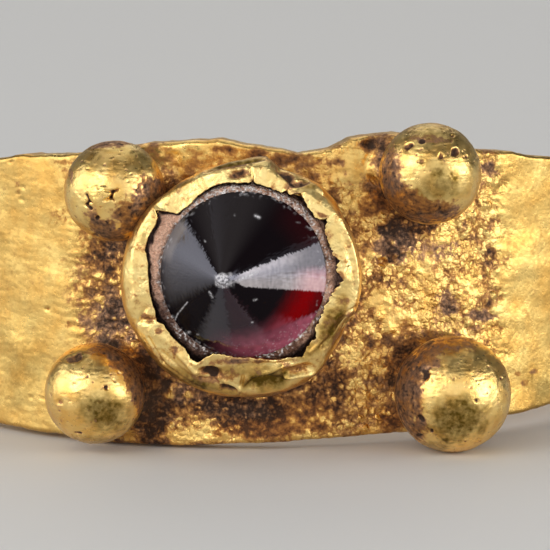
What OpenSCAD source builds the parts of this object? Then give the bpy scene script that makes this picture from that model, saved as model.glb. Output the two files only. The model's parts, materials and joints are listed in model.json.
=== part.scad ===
// A finger ring of sheet gold: a broad flat hoop that narrows to the back, a round
// collet crimped over a cone-cut dark red stone, and four gold granules soldered at
// the corners of the bezel.
// The ring lies on its side, as it comes to rest by itself: the floor is Z = 0, the
// bezel faces -Y, and the origin is on the floor under the middle of the whole ring.
// All sizes are in millimetres.

/* [Hoop] */
// Radius of the finger hole
bore_r = 8.9; // [8:0.05:11]
// Thickness of the hoop's sheet
sheet_t = 0.75; // [0.6:0.05:1.2]
// Half the hoop's width at the middle of the back
back_half_w = 1.7; // [1.4:0.1:2.2]
// How fast the edges close in behind the part that the edge table gives
back_taper = 1.8; // [1.4:0.1:2.4]

/* [Collet] */
// Where the middle of the collet's mouth stands to the right of the ring's middle
collet_x = -0.83; // [-0.9:0.01:-0.7]
// Height of the collet's middle over the ring's mid-plane
collet_z = 0.56; // [0.5:0.01:0.62]
// Height of the bend where the wall turns inwards, over the hoop
rim_h = 1.5; // [1.4:0.05:1.6]
// Thickness of the collet's wall
wall_t = 0.26; // [0.24:0.01:0.28]
// Thickness of the crimped lip
lip_t = 0.22; // [0.18:0.01:0.24]
// How far the collet's foot lies to the right of and over its mouth
foot_shift = [-0.08, -0.15]; // [-0.16:0.01:0]
// Height of the floor inside the collet, over the hoop
collet_floor_h = 0.15; // [0.1:0.05:0.2]

/* [Stone] */
// Radius of the stone's girdle
stone_r = 2.0; // [1.95:0.01:2.02]
// Height of the girdle's upper edge over the hoop
girdle_h = 1.52; // [1.48:0.01:1.55]
// Height of the cone over its girdle
cone_h = 1.83; // [1.6:0.01:2]
// Radius of the small worn table at the tip
table_r = 0.12; // [0.08:0.01:0.2]
// Number of long facets round the cone
facets = 40; // [24:1:48]
// How far the tip leans to the left of the girdle's middle
tip_lean = 0.43; // [0.3:0.01:0.5]
// Place of the stone in the collet, to the right and upwards
stone_shift = [0.13, 0.08]; // [0.05:0.01:0.14]
// Gap between the stone and its bedding
gap = 0.05; // [0.04:0.01:0.06]

/* [Granules] */
// How far up its own radius a granule's centre stands over the hoop
granule_seat = 0.8; // [0.7:0.01:0.9]
// Radius of the solder at a granule's foot, as a share of its radius
solder_foot = 1.0; // [0.8:0.01:1.1]
// Radius of the solder where it meets the granule, as a share of its radius
solder_top = 0.8; // [0.7:0.01:0.85]
// How far the solder runs up over the hoop, as a share of the granule's radius
solder_h = 0.25; // [0.15:0.01:0.35]

/* [Hidden] */
$fn = 64;
hoop_r = bore_r + sheet_t;

// The hoop's edges at the front, as they are hammered and worn: the angle round the
// ring from its middle, positive to the right, and the heights of both edges.
ANGLE = 0;
TOP = 1;
BOTTOM = 2;
edge_table = [
  [-43, 3.09, -3.34],
  [-39, 3.22, -3.40],
  [-32, 3.26, -3.48],
  [-28, 3.34, -3.56],
  [-24, 3.46, -3.59],
  [-18, 3.61, -3.60],
  [-12, 3.69, -3.61],
  [ -8, 3.72, -3.57],
  [ -5, 3.63, -3.54],
  [  1, 3.48, -3.51],
  [  3.5, 3.39, -3.47],
  [  8, 3.49, -3.42],
  [ 11, 3.74, -3.39],
  [ 14, 3.80, -3.37],
  [ 18, 3.86, -3.31],
  [ 25, 3.62, -3.18],
  [ 31, 3.37, -3.08],
  [ 36, 3.31, -3.03],
  [ 39, 3.20, -2.99],
  [ 43, 3.12, -2.88],
];
front_angle = 43;

// The collet round its own axis: the angle from the right, anticlockwise as seen from
// the front, the radius of its foot about the foot's own middle, the radius of the bend
// and of the torn edge of the lip, and the height of that edge over the hoop.
FOOT = 1;
RIM = 2;
LIP = 3;
LIP_H = 4;
collet_table = [
  [  0, 2.88, 2.80, 2.40, 1.70],
  [ 10, 2.90, 2.82, 2.38, 1.72],
  [ 20, 2.88, 2.80, 2.27, 1.78],
  [ 30, 2.86, 2.76, 2.31, 1.80],
  [ 35, 2.86, 2.74, 2.52, 1.70],
  [ 40, 2.86, 2.72, 2.32, 1.80],
  [ 50, 2.85, 2.68, 2.40, 1.80],
  [ 55, 2.85, 2.66, 2.57, 1.64],
  [ 60, 2.84, 2.64, 2.40, 1.80],
  [ 65, 2.84, 2.64, 2.29, 1.84],
  [ 75, 2.83, 2.66, 2.31, 1.80],
  [ 82, 2.83, 2.68, 2.38, 1.75],
  [ 90, 2.83, 2.68, 2.31, 1.75],
  [100, 2.82, 2.66, 2.33, 1.75],
  [110, 2.80, 2.64, 2.29, 1.75],
  [120, 2.78, 2.62, 2.19, 1.80],
  [130, 2.80, 2.66, 2.14, 1.84],
  [136, 2.81, 2.70, 2.31, 1.84],
  [141, 2.82, 2.72, 2.62, 1.68],
  [146, 2.82, 2.66, 2.40, 1.70],
  [155, 2.82, 2.62, 2.38, 1.70],
  [163, 2.82, 2.60, 2.38, 1.70],
  [169, 2.82, 2.60, 2.21, 1.75],
  [180, 2.82, 2.58, 2.16, 1.80],
  [190, 2.82, 2.56, 2.14, 1.80],
  [200, 2.82, 2.56, 2.17, 1.78],
  [206, 2.82, 2.56, 2.21, 1.72],
  [210, 2.82, 2.56, 2.10, 1.78],
  [220, 2.82, 2.58, 2.10, 1.80],
  [230, 2.82, 2.60, 2.07, 1.78],
  [237, 2.80, 2.56, 2.10, 1.82],
  [241, 2.80, 2.54, 2.19, 1.90],
  [247, 2.80, 2.50, 1.98, 1.90],
  [254, 2.80, 2.46, 1.86, 1.92],
  [262, 2.80, 2.42, 1.87, 1.92],
  [270, 2.79, 2.40, 1.88, 1.90],
  [280, 2.80, 2.40, 1.92, 1.90],
  [290, 2.80, 2.42, 2.02, 1.92],
  [300, 2.86, 2.54, 2.14, 1.83],
  [309, 2.90, 2.66, 2.36, 1.70],
  [317, 2.84, 2.62, 2.26, 1.70],
  [323, 2.80, 2.56, 2.26, 1.68],
  [328, 2.78, 2.54, 2.12, 1.78],
  [338, 2.78, 2.60, 2.12, 1.78],
  [346, 2.86, 2.74, 2.17, 1.72],
  [354, 2.88, 2.80, 2.29, 1.70],
];

// The granules: where each centre stands to the right of the ring's middle and over
// its mid-plane, and its radius.
RIGHT = 0;
UP = 1;
RADIUS = 2;
granule_table = [
  [-3.81,  2.53, 1.20],
  [ 3.69,  2.95, 1.21],
  [-4.29, -2.32, 1.20],
  [ 4.23, -2.32, 1.39],
];
lower_left_granule = 2;
lower_right_granule = 3;

// Half the height of the cylinders that the hoop and its bore are made with
reach = 5;
// Radii between which the form that gives the edges is made
edge_in_r = bore_r - 1;
edge_out_r = hoop_r + 1.5;
// Number of steps that the form takes round the back, from one end of the table to the other
behind_steps = 27;

// The collet's axis runs straight out of the hoop, at this angle round the ring
collet_angle = asin(collet_x / (hoop_r + rim_h));
// The foot's radius about the middle of the collet's mouth
function foot(t) =
  t[FOOT] + foot_shift[0] * cos(t[ANGLE]) + foot_shift[1] * sin(t[ANGLE]);
// How deep the collet's foot is sunk in the hoop's sheet, how high it stands up
// straight, and how thick the wall is down there
foot_sink = 0.6;
foot_h = 0.1;
foot_wall_t = wall_t + 0.12;
// The wall leans in towards the bend from here up, and the bend is a little rounded
lean_h = rim_h - 0.3;
bend_in = 0.02;
// The bend's inner side
under_bend_h = rim_h - 0.2;
// Gap between the bedding and the collet's uneven wall
bedding_gap = 2 * gap;
// The bedding's upper edge, which keeps clear of the bend and the lip over it, and the
// floor of the pocket that it holds the stone in
bedding_edge_h = rim_h - 0.28;
bedding_top_h = rim_h - 0.16;
bedding_top_in = 0.03;
pocket_floor_h = 0.5;
// The stone's girdle is a narrow upright band, and its underside is a little smaller
girdle_t = 0.1;
underside_in = 0.1;

// Half the hoop's width at an angle behind the table, from its width where the table ends
function behind(a, w) =
  back_half_w + (w - back_half_w) * pow((1 + cos(a)) / (1 + cos(front_angle)), back_taper);

// Height of an edge at an angle from -180 to 180
function edge_h(a, column) =
  let (pairs = [for (row = edge_table) [row[ANGLE], row[column]]])
  abs(a) <= front_angle
    ? lookup(a, pairs)
    : sign(lookup(a, pairs)) * behind(a, abs(lookup(a, pairs)));

// A point of the hoop at a radius, an angle from the front and a height
function on_hoop(r, a, z) = [r * sin(a), -r * cos(a), z];

// The angle round the ring, and the middle, of a granule
function granule_out(g) = hoop_r + granule_seat * g[RADIUS];
function granule_angle(g) = asin(g[RIGHT] / granule_out(g));
function granule_centre(g) = on_hoop(granule_out(g), granule_angle(g), g[UP]);

// The plane that the ring rests on touches the lower right granule, the outer side of
// the lower edge at the back, and the lowest point at the left of the front, which is
// on the inner side of the lower edge or on the granule there.
low_granule = granule_table[lower_right_granule];
low_left_granule = granule_table[lower_left_granule];
left_edge_points = [
  for (row = edge_table) if (row[ANGLE] < 0) on_hoop(bore_r, row[ANGLE], row[BOTTOM])
];
back_point = [0, hoop_r, -back_half_w];

function lowest(points, up) =
  let (heights = [for (p = points) p * up])
  points[search(min(heights), heights)[0]];
function touch(g, up) = granule_centre(g) - g[RADIUS] * up;
function unit(v) = v / norm(v);
function plane_up(up) =
  let (
    right = touch(low_granule, up),
    left = lowest(concat(left_edge_points, [touch(low_left_granule, up)]), up)
  )
  unit(cross(right - left, back_point - left));
function settle(up, tries) = tries == 0 ? up : settle(plane_up(up), tries - 1);

settle_tries = 6;
rest_up = settle([0, 0, 1], settle_tries);
rest_axis = unit(cross(rest_up, [0, 0, 1]));
rest_angle = acos(rest_up[2]);
function turned(p) =
  p * cos(rest_angle) + cross(rest_axis, p) * sin(rest_angle)
  + rest_axis * (rest_axis * p) * (1 - cos(rest_angle));
tip_point = on_hoop(hoop_r + girdle_h + cone_h, collet_angle, collet_z);
rest_shift = [
  0,
  -(turned(tip_point)[1] + turned([0, hoop_r, 0])[1]) / 2,
  -rest_up * touch(low_granule, rest_up)
];

// Lays what is made in the ring's own frame on the floor
module laid() {
  translate(rest_shift)
    rotate(a = rest_angle, v = rest_axis)
      children();
}

// Moves what is made round +Z, with its right on +X and its top on +Y, to the collet
module on_collet() {
  translate(on_hoop(hoop_r, collet_angle, collet_z))
    rotate([90, 0, collet_angle])
      children();
}

// A closed body through rings of points, each ring anticlockwise, from its foot upwards
module lofted(rings) {
  n = len(rings[0]);
  top = (len(rings) - 1) * n;
  sides = [
    for (k = [0:len(rings) - 2], i = [0:n - 1])
      let (j = (i + 1) % n)
      each [
        [k * n + i, (k + 1) * n + i, (k + 1) * n + j],
        [k * n + i, (k + 1) * n + j, k * n + j]
      ]
  ];
  caps = [
    [for (i = [0:n - 1]) i],
    [for (i = [n - 1:-1:0]) top + i]
  ];
  polyhedron(points = [for (ring = rings) each ring], faces = concat(sides, caps));
}

// A ring-shaped form round the hoop whose upper and lower faces give the hoop's edges
module edge_form() {
  stations = concat(
    [for (row = edge_table) row[ANGLE]],
    [for (k = [1:behind_steps - 1]) front_angle + k * (360 - 2 * front_angle) / behind_steps]
  );
  n = len(stations);
  corner = [[edge_in_r, BOTTOM], [edge_out_r, BOTTOM], [edge_out_r, TOP], [edge_in_r, TOP]];
  points = [
    for (c = corner, s = stations)
      let (a = s > 180 ? s - 360 : s)
      on_hoop(c[0], a, edge_h(a, c[1]))
  ];
  faces = [
    for (k = [0:3], i = [0:n - 1])
      let (j = (i + 1) % n, l = (k + 1) % 4)
      each [
        [k * n + i, l * n + i, l * n + j],
        [k * n + i, l * n + j, k * n + j]
      ]
  ];
  polyhedron(points = points, faces = faces);
}

// The hoop before it is bored, with the solder that runs up round each granule's foot
module hoop() {
  color("goldenrod")
    intersection() {
      union() {
        cylinder(r = hoop_r, h = 2 * reach, center = true);
        for (g = granule_table)
          solder(g);
      }
      edge_form();
    }
}

module solder(g) {
  a = granule_angle(g);
  translate(on_hoop(hoop_r - sheet_t / 2, a, g[UP]))
    rotate([90, 0, a])
      cylinder(
        r1 = solder_foot * g[RADIUS],
        r2 = solder_top * g[RADIUS],
        h = sheet_t / 2 + solder_h * g[RADIUS]
      );
}

// A body through rings that give a radius and a height for each row of the collet's table
module lofted_by_row(rings) {
  lofted([
    for (ring = rings)
      [
        for (i = [0:len(collet_table) - 1])
          let (a = collet_table[i][ANGLE])
          [ring[i][0] * cos(a), ring[i][0] * sin(a), ring[i][1]]
      ]
  ]);
}

module collet() {
  rows = collet_table;
  color("gold")
    on_collet()
      lofted_by_row([
        [for (t = rows) [foot(t), -foot_sink]],
        [for (t = rows) [foot(t), foot_h]],
        [for (t = rows) [(foot(t) + 2 * t[RIM]) / 3, lean_h]],
        [for (t = rows) [t[RIM] - bend_in, rim_h]],
        [for (t = rows) [(t[RIM] + t[LIP]) / 2, (rim_h + 2 * t[LIP_H]) / 3]],
        [for (t = rows) [t[LIP], t[LIP_H]]],
        [for (t = rows) [t[LIP], t[LIP_H] - lip_t]],
        [for (t = rows) [t[RIM] - wall_t, under_bend_h]],
        [for (t = rows) [foot(t) - foot_wall_t, collet_floor_h]]
      ]);
}

// A ball whose pole points out of the hoop and whose seam lies away from the collet
module granule(g) {
  away = atan2(g[UP] - collet_z, g[RIGHT] - collet_x);
  color("gold")
    translate(granule_centre(g))
      rotate([90, 0, granule_angle(g)])
        rotate([0, 0, away])
          sphere(r = g[RADIUS]);
}

module hoop_and_setting() {
  laid()
    difference() {
      union() {
        hoop();
        collet();
        for (g = granule_table)
          granule(g);
      }
      cylinder(r = bore_r, h = 2 * reach, center = true);
    }
}

module stone() {
  // Radius, height and lean of each level
  levels = [
    [stone_r - underside_in, pocket_floor_h + gap, 0],
    [stone_r, girdle_h - girdle_t, 0],
    [stone_r, girdle_h, 0],
    [table_r, girdle_h + cone_h, -tip_lean]
  ];
  color([0.3, 0.02, 0.05])
    laid()
      on_collet()
        translate([stone_shift[0], stone_shift[1], 0])
          lofted([
            for (l = levels)
              [
                for (i = [0:facets - 1])
                  let (a = 360 * i / facets)
                  [l[0] * cos(a) + l[2], l[0] * sin(a), l[1]]
              ]
          ]);
}

module bedding() {
  rows = collet_table;
  color("rosybrown")
    laid()
      on_collet()
        difference() {
          lofted_by_row([
            [for (t = rows) [foot(t) - foot_wall_t - bedding_gap, collet_floor_h + gap]],
            [for (t = rows) [t[RIM] - wall_t - bedding_gap, bedding_edge_h]],
            [for (t = rows) [t[RIM] - wall_t - bedding_gap - bedding_top_in, bedding_top_h]]
          ]);
          translate([stone_shift[0], stone_shift[1], pocket_floor_h])
            cylinder(r = stone_r + gap, h = reach);
        }
}

hoop_and_setting();
stone();
bedding();
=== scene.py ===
"""A gold finger ring: a broad hammered hoop, a torn collet crimped over a cone-cut garnet,
and four gold granules at the corners of the bezel.

Sizes are in millimetres, in the ring's own frame: +X to the right of the bezel, -Y out of
the bezel, +Z along the finger, and the axis of the finger hole through the origin. The
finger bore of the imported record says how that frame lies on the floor.
"""

import json
import math
from functools import partialmethod
from types import SimpleNamespace

import bmesh
import bpy
import numpy as np
from mathutils import Matrix, Vector


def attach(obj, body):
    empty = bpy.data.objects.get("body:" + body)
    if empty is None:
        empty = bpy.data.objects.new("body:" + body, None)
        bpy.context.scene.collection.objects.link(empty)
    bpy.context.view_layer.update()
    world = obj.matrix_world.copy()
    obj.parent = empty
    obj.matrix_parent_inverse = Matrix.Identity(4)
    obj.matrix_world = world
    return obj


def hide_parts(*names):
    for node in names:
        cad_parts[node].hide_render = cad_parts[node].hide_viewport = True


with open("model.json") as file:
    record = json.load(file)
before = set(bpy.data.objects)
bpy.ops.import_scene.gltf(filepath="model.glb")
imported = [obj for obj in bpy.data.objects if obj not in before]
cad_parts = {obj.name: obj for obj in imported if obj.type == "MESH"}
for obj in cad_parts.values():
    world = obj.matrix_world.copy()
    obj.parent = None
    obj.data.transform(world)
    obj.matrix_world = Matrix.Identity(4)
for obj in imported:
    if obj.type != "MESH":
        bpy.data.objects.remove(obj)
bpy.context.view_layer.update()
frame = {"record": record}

MM = 0.001

# The hoop
BORE_R = 8.9
SHEET_T = 0.75
HOOP_R = BORE_R + SHEET_T
BACK_HALF_W = 1.7
BACK_TAPER = 1.8
FRONT_ANGLE = 43

# The hoop's edges at the front: the angle round the ring from its middle, in degrees, and
# the heights of the upper and the lower edge
EDGES = np.array([
    (-43, 3.09, -3.34), (-39, 3.22, -3.40), (-32, 3.26, -3.48), (-28, 3.34, -3.56),
    (-24, 3.46, -3.59), (-18, 3.61, -3.60), (-12, 3.69, -3.61), (-8, 3.72, -3.57),
    (-5, 3.63, -3.54), (1, 3.48, -3.51), (3.5, 3.39, -3.47), (8, 3.49, -3.42), (11, 3.74, -3.39),
    (14, 3.80, -3.37), (18, 3.86, -3.31), (25, 3.62, -3.18), (31, 3.37, -3.08), (36, 3.31, -3.03),
    (39, 3.20, -2.99), (43, 3.12, -2.88),
])

# Steps of the hoop's mesh round the ring: from an angle to an angle, by a step, in degrees
COLUMN_STEPS = [
    (-180, -90, 4), (-90, -44, 1), (-44, -35, 0.35), (-35, 1, 0.27), (1, 33, 0.19), (33, 44, 0.35),
    (44, 90, 1), (90, 180, 4),
]
OUTER_ROWS = 170
INNER_ROWS = 8
EDGE_ROUND = 0.1

# The collet: its middle to the right and upwards, and the angle of its axis round the ring
COLLET_X = -0.83
COLLET_Z = 0.56
RIM_H = 1.5
COLLET_ANGLE = math.asin(COLLET_X / (HOOP_R + RIM_H))

# The granules: to the right, upwards, radius
GRANULES = {
    "granule_upper_left": (-3.81, 2.53, 1.20),
    "granule_upper_right": (3.69, 2.95, 1.21),
    "granule_lower_left": (-4.29, -2.32, 1.20),
    "granule_lower_right": (4.23, -2.32, 1.39),
}
GRANULE_SEAT = 0.8
GRANULE_LEVEL = 7

# The photograph: its scale, the row of the hoop's mid-plane, how far above that plane it
# looks from, and how far away the camera stands
PHOTO_SIDE = 550
PX_PER_MM = 42
MIDDLE_COLUMN = 275
MIDDLE_ROW = 296
VIEW_ELEVATION = math.radians(5.1)
CAMERA_DISTANCE = 300

VIEW_RIGHT = np.array([1, 0, 0])
VIEW_UP = np.array([0, math.sin(VIEW_ELEVATION), math.cos(VIEW_ELEVATION)])
VIEW_OUT = np.array([0, -math.cos(VIEW_ELEVATION), math.sin(VIEW_ELEVATION)])
HOOP_FRONT = np.array([0, -HOOP_R, 0])

# Middle of the readings round the collet, in pixels of the photograph
COLLET_COLUMN = 240
COLLET_ROW = 280


# Places

def smooth(low, high, x):
    """0 below low, 1 above high, and a smooth way between them."""
    t = np.clip((x - low) / (high - low), 0, 1)
    return t * t * (3 - 2 * t)


def between(x, start, full, full_end, end):
    """1 from full to full_end, and a smooth way down to 0 at start and at end."""
    return smooth(start, full, x) * smooth(end, full_end, x)


def on_hoop(radius, angle, height):
    """Points at a radius, at an angle from the front in radians, and at a height."""
    radius, angle, height = np.broadcast_arrays(radius, angle, height)
    return np.stack([radius * np.sin(angle), -radius * np.cos(angle), height], -1)


def on_photo(points):
    """The columns and rows of the photograph at which points of the ring show."""
    from_front = points - HOOP_FRONT
    columns = MIDDLE_COLUMN + PX_PER_MM * from_front @ VIEW_RIGHT
    rows = MIDDLE_ROW - PX_PER_MM * from_front @ VIEW_UP
    return columns, rows


COLLET_FOOT = on_hoop(HOOP_R, COLLET_ANGLE, COLLET_Z)
COLLET_RIGHT = np.array([math.cos(COLLET_ANGLE), math.sin(COLLET_ANGLE), 0])
COLLET_UP = np.array([0, 0, 1])
COLLET_OUT = np.array([math.sin(COLLET_ANGLE), -math.cos(COLLET_ANGLE), 0])


def on_collet(column, row, height):
    """The points over the hoop, at a height along the collet's axis, that show at places of
    the photograph."""
    column, row, height = np.broadcast_arrays(column, row, height)
    base = COLLET_FOOT + height[..., None] * COLLET_OUT - HOOP_FRONT
    right = ((column - MIDDLE_COLUMN) / PX_PER_MM - base[..., 0]) / COLLET_RIGHT[0]
    flat = base + right[..., None] * COLLET_RIGHT
    up = ((MIDDLE_ROW - row) / PX_PER_MM - flat @ VIEW_UP) / VIEW_UP[2]
    return HOOP_FRONT + flat + up[..., None] * COLLET_UP


def round_collet(angle, radius, height):
    """on_collet for readings in degrees and pixels about the collet's middle."""
    turn = np.radians(angle)
    return on_collet(
        COLLET_COLUMN + radius * np.cos(turn), COLLET_ROW - radius * np.sin(turn), height
    )


def laid():
    """The turn and the shift, in metres, that lay the ring's frame on the floor."""
    bore = next(m for m in frame["record"]["mounts"] if m["name"] == "finger_bore")
    turn = Vector((0, 0, 1)).rotation_difference(Vector(bore["axis"])).to_matrix()
    return np.array(turn), np.array(bore["pos_m"])


TURN, SHIFT = laid()


def in_world(points):
    return points * MM @ TURN.T + SHIFT


# Noise

# Odd factors and a mask of 32 bits that scatter whole numbers evenly
CELL_FACTORS = np.array([73856093, 19349663, 83492791])
SEED_FACTOR = 2654435761
MIX_FACTORS = (2246822519, 3266489917)
WHOLE = 0xFFFFFFFF
NOISE_GAIN = 1.8


def hashed(cells, seed):
    """A number from 0 to 1 for each cell, given by three whole numbers."""
    n = np.bitwise_xor.reduce(cells * CELL_FACTORS, axis=-1)
    n = (n ^ seed * SEED_FACTOR) & WHOLE
    n = (n ^ n >> 15) * MIX_FACTORS[0] & WHOLE
    n = (n ^ n >> 13) * MIX_FACTORS[1] & WHOLE
    return (n ^ n >> 16) / WHOLE


def hashed_places(cells, seed):
    """Three numbers from 0 to 1 for each cell."""
    return np.stack([hashed(cells, 3 * seed + k) for k in range(3)], -1)


def noise(points, size, seed):
    """Smooth noise, mostly from -1 to 1, whose lumps are about size across."""
    places = points / np.asarray(size)
    cells = np.floor(places).astype(np.int64)
    inside = places - cells
    weights = inside ** 3 * (inside * (inside * 6 - 15) + 10)
    total = np.zeros(points.shape[:-1])
    for corner in np.ndindex(2, 2, 2):
        slopes = hashed_places(cells + corner, seed) * 2 - 1
        share = np.prod(np.where(corner, weights, 1 - weights), -1)
        total += share * (slopes * (inside - corner)).sum(-1)
    return NOISE_GAIN * total


def layers(points, table):
    """The sum of noises: each row of the table gives a strength, a size and a seed."""
    return sum(strength * noise(points, size, seed) for strength, size, seed in table)


def lumps(points, size, seed):
    """Round lumps packed side by side: 1 at the top of each, and 0 between them."""
    places = points / np.asarray(size)
    cells = np.floor(places).astype(np.int64)
    nearest = np.full(points.shape[:-1], 9.0)
    second = nearest.copy()
    for step in np.ndindex(3, 3, 3):
        there = cells + step - 1
        apart = np.linalg.norm(places - there - hashed_places(there, seed), axis=-1)
        second = np.minimum(second, np.maximum(nearest, apart))
        nearest = np.minimum(nearest, apart)
    return smooth(0, 0.9, second - nearest)


# Marks that are placed by the photograph. at stands for the columns and rows of points

def spots(at, table, ragged):
    """The sum of soft ellipses: each row of the table gives a column, a row, half a width,
    half a height, a strength and, for a turned one, degrees. ragged breaks up their edges."""
    total = 0
    for column, row, half_w, half_h, strength, *degrees in table:
        right, down = at[0] - column, at[1] - row
        turn = math.radians(sum(degrees))
        c, s = math.cos(turn), math.sin(turn)
        apart = np.hypot((right * c - down * s) / half_w, (right * s + down * c) / half_h)
        total = total + strength * smooth(1.35, 0.5, apart + 0.3 * ragged)
    return total


def lines(at, table):
    """The sum of soft lines: each row of the table gives the column and row of both ends,
    half a width and a strength."""
    total = 0
    for column_a, row_a, column_b, row_b, half_w, strength in table:
        right, down = at[0] - column_a, at[1] - row_a
        long_right, long_down = column_b - column_a, row_b - row_a
        share = (right * long_right + down * long_down) / (long_right ** 2 + long_down ** 2)
        share = np.clip(share, 0, 1)
        apart = np.hypot(right - share * long_right, down - share * long_down)
        total = total + strength * np.exp(-(apart / half_w) ** 2)
    return total


# Meshes

def grid_faces(rows, columns, closed_rows=False, closed_columns=False):
    """The four-sided faces of a grid of points, numbered along each row in turn."""
    i = np.arange(rows if closed_rows else rows - 1)[:, None]
    j = np.arange(columns if closed_columns else columns - 1)[None, :]
    below = (i + 1) % rows
    beside = (j + 1) % columns
    return np.stack(
        [i * columns + j, i * columns + beside, below * columns + beside, below * columns + j],
        -1,
    ).reshape(-1, 4)


def fan_faces(ring, middle, turned=False):
    """Triangles from a closed ring of points to one in its middle."""
    faces = [(a, b, middle) for a, b in zip(ring.tolist(), np.roll(ring, -1).tolist())]
    return [face[::-1] for face in faces] if turned else faces


def extended(marks, count, level=0):
    """Marks for count points: those beyond the first ones get a level."""
    return {
        key: np.append(values, np.full(count - values.size, level))
        for key, values in marks.items()
    }


def add_object(name, data):
    thing = bpy.data.objects.new(name, data)
    bpy.context.scene.collection.objects.link(thing)
    return thing


def add_mesh(name, points, faces, material):
    mesh = bpy.data.meshes.new(name)
    mesh.from_pydata(points, [], faces)
    mesh.shade_smooth()
    mesh.materials.append(material)
    return add_object(name, mesh)


def make_piece(name, points, faces, marks, material, node):
    """A piece from points in the ring's frame. marks are numbers that its material reads."""
    places = in_world(points.reshape(-1, 3)).tolist()
    piece = add_mesh(name, places, [tuple(face) for face in faces], material)
    for key, values in marks.items():
        attribute = piece.data.attributes.new(key, "FLOAT", "POINT")
        attribute.data.foreach_set("value", np.asarray(values, np.float32).ravel())
    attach(piece, "root")
    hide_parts(node)
    return piece


# Materials

# The colours of a Mix node: the numbers of its inputs and its output
MIX_A = 6
MIX_B = 7
MIX_RESULT = 2


class Field:
    """A number or a colour at each place of a surface: the output of one of a material's
    nodes. Fields add and multiply like numbers."""

    def __init__(self, socket):
        self.socket = socket

    def node(self, kind, output, inputs, **settings):
        return add_node(self.socket.id_data, kind, output, inputs, **settings)

    def maths(self, operation, other):
        return self.node("Math", 0, {0: self, 1: other}, operation=operation)

    __add__ = partialmethod(maths, "ADD")
    __sub__ = partialmethod(maths, "SUBTRACT")
    __mul__ = partialmethod(maths, "MULTIPLY")

    def ramp(self, low, high, to_low=0.0, to_high=1.0):
        """A straight way from to_low at low to to_high at high, and level beyond."""
        ends = {"From Min": low, "From Max": high, "To Min": to_low, "To Max": to_high}
        return self.node("MapRange", "Result", {"Value": self, **ends})


def connect(socket, value):
    """Link an input to a field, or set it to a number or a colour."""
    if isinstance(value, Field):
        socket.id_data.links.new(value.socket, socket)
    else:
        socket.default_value = (*value, 1) if socket.type == "RGBA" else value


def add_node(tree, kind, output, inputs, **settings):
    """The field that a new node puts out."""
    node = tree.nodes.new("ShaderNode" + kind)
    for key, value in settings.items():
        setattr(node, key, value)
    for key, value in inputs.items():
        connect(node.inputs[key], value)
    return Field(node.outputs[output])


class Look:
    """A material with a Principled shader. place is where a point lies, in millimetres."""

    def __init__(self, name):
        self.material = bpy.data.materials.new(name)
        self.material.use_nodes = True
        self.tree = self.material.node_tree
        metres = add_node(self.tree, "TexCoord", "Object", {})
        self.place = metres.node(
            "VectorMath", 0, {0: metres, 1: (1 / MM,) * 3}, operation="MULTIPLY"
        )

    def mark(self, name):
        return add_node(self.tree, "Attribute", "Fac", {}, attribute_name=name)

    def cloud(self, scale, detail=4, low=0.35, high=0.65):
        """Noise from 0 to 1 with scale lumps to a millimetre, stretched from low and high."""
        inputs = {"Vector": self.place, "Scale": scale, "Detail": detail}
        return self.place.node("TexNoise", "Fac", inputs).ramp(low, high)

    def shaded(self, inputs):
        """The material, with some of its shader's inputs set."""
        for key, value in inputs.items():
            connect(self.tree.nodes["Principled BSDF"].inputs[key], value)
        return self.material


def mix(share, a, b):
    """A colour from a to b."""
    inputs = {0: share, MIX_A: a, MIX_B: b}
    return share.node("Mix", MIX_RESULT, inputs, data_type="RGBA")


def fine_relief(height, depth):
    """The normals of a fine relief, whose depth is in millimetres."""
    return height.node("Bump", "Normal", {"Height": height, "Distance": depth * MM, "Strength": 1})


def plain_material(name, colour, rough):
    return Look(name).shaded({"Base Color": colour, "Roughness": rough})


GOLD_BRIGHT = (0.97, 0.67, 0.22)
GOLD_DEEP = (0.87, 0.50, 0.13)
# The colour of the painted pale highlight
GOLD_PAINTED_HIGHLIGHT = (1.0, 0.76, 0.31)
# The colour of painted olive shade, where the gold would mirror dark surroundings
GOLD_PAINTED_SHADE = (0.13, 0.078, 0.011)
GOLD_DEPTH = 0.022
CELLS_PER_MM = 6.5
CELL_BEND = 0.16
# The dirt on the gold: how thick it is, from a film to a crust, and its colours there
DIRT_THICKNESS = (0.2, 0.4, 0.62, 0.85, 1)
DIRT_BROWN = [
    (0.75, 0.42, 0.12), (0.53, 0.26, 0.078), (0.31, 0.14, 0.046), (0.13, 0.055, 0.022),
    (0.045, 0.021, 0.011),
]
DIRT_PURPLE = [
    (0.72, 0.43, 0.17), (0.51, 0.28, 0.135), (0.30, 0.165, 0.095), (0.135, 0.075, 0.047),
    (0.052, 0.030, 0.021),
]
DIRT_ORANGE = [
    (0.80, 0.45, 0.11), (0.60, 0.29, 0.07), (0.38, 0.16, 0.042), (0.19, 0.07, 0.022),
    (0.09, 0.036, 0.014),
]


def dirt_colour(dirt_and_shade, colours):
    """The colour of one kind of dirt where it is as thick as the mark says; painted shade takes the
    same colours.
    """
    colour = dirt_and_shade.node("ValToRGB", "Color", {"Fac": dirt_and_shade})
    elements = colour.socket.node.color_ramp.elements
    while len(elements) < len(colours):
        elements.new(1)
    for element, thickness, shade in zip(elements, DIRT_THICKNESS, colours):
        element.position = thickness
        element.color = (*shade, 1)
    return colour


def gold_cells(look):
    """Bent cells of the gold: how far a point lies from their borders, and a colour each."""
    wander = look.place.node(
        "TexNoise", "Color", {"Vector": look.place, "Scale": 7, "Detail": 2}
    )
    inputs = {0: wander, 1: (CELL_BEND,) * 3, 2: look.place}
    bent = wander.node("VectorMath", 0, inputs, operation="MULTIPLY_ADD")
    inputs = {"Vector": bent, "Scale": CELLS_PER_MM}
    border = bent.node("TexVoronoi", "Distance", inputs, feature="DISTANCE_TO_EDGE")
    return border.ramp(0, 0.35), bent.node("TexVoronoi", "Color", inputs)


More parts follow.
